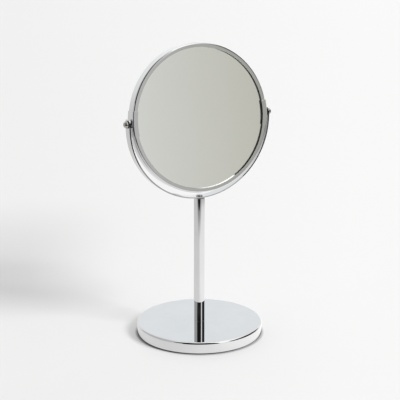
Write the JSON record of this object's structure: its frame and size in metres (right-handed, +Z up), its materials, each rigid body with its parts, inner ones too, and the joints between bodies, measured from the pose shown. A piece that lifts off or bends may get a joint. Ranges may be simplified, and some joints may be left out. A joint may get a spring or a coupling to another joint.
{
  "type": "magnifying mirror",
  "caption": "Round two-sided magnifying mirror, its head tilting in a flat-strip yoke on a tube post above a weighted disc base.",
  "frame": {"origin": "centre of the base's underside, on the surface that the mirror stands on", "axes": "+Z up along the post; -Y is the side that the plain glass faces; X runs along the head's tilt axis, with +X on the right of someone who looks at the plain glass"},
  "size_m": [0.1906, 0.15, 0.3478],
  "materials": {
    "chrome": "polished chrome plate on steel",
    "chrome_rim": "polished chrome plate on pressed steel",
    "chrome_small": "polished chrome plate on turned steel",
    "zinc_steel": "zinc-plated steel",
    "brass_insert": "turned",
    "ballast": "cast cement",
    "pad_foam": "closed-cell foam",
    "gasket_foam": "closed-cell foam",
    "core_plastic": "moulded",
    "black_nylon": "moulded nylon",
    "mirror_plain": "silvered flat glass",
    "mirror_magnifying": "silvered concave glass"
  },
  "bodies": {
    "stand": {"base_cover": "chrome", "base_weight": "ballast", "base_plate": "zinc_steel", "base_pad": "pad_foam", "base_bolt": "zinc_steel", "base_washer": "zinc_steel", "base_spring_washer": "zinc_steel", "post_tube": "chrome", "post_lower_insert": "brass_insert", "post_upper_insert": "brass_insert", "yoke": "chrome", "yoke_screw": "chrome_small", "yoke_washer": "chrome_small"},
    "head": {"front_rim": "chrome_rim", "rear_rim": "chrome_rim", "plain_glass": "mirror_plain", "magnifying_glass": "mirror_magnifying", "core_disc": "core_plastic", "front_gasket": "gasket_foam", "rear_gasket": "gasket_foam", "pivot_clip_left": "chrome_rim", "pivot_clip_right": "chrome_rim", "pivot_stud_left": "zinc_steel", "pivot_stud_right": "zinc_steel", "spring_washer_left": "zinc_steel", "spring_washer_right": "zinc_steel", "friction_washer_left": "black_nylon", "friction_washer_right": "black_nylon", "outer_washer_left": "black_nylon", "outer_washer_right": "black_nylon", "pivot_knob_left": "chrome_small", "pivot_knob_right": "chrome_small"}
  },
  "joints": [
    {"name": "head_tilt", "type": "hinge", "parent": "stand", "child": "head", "pos_m": [0, 0, 0.2617], "axis": [1, 0, 0], "continuous": true}
  ]
}
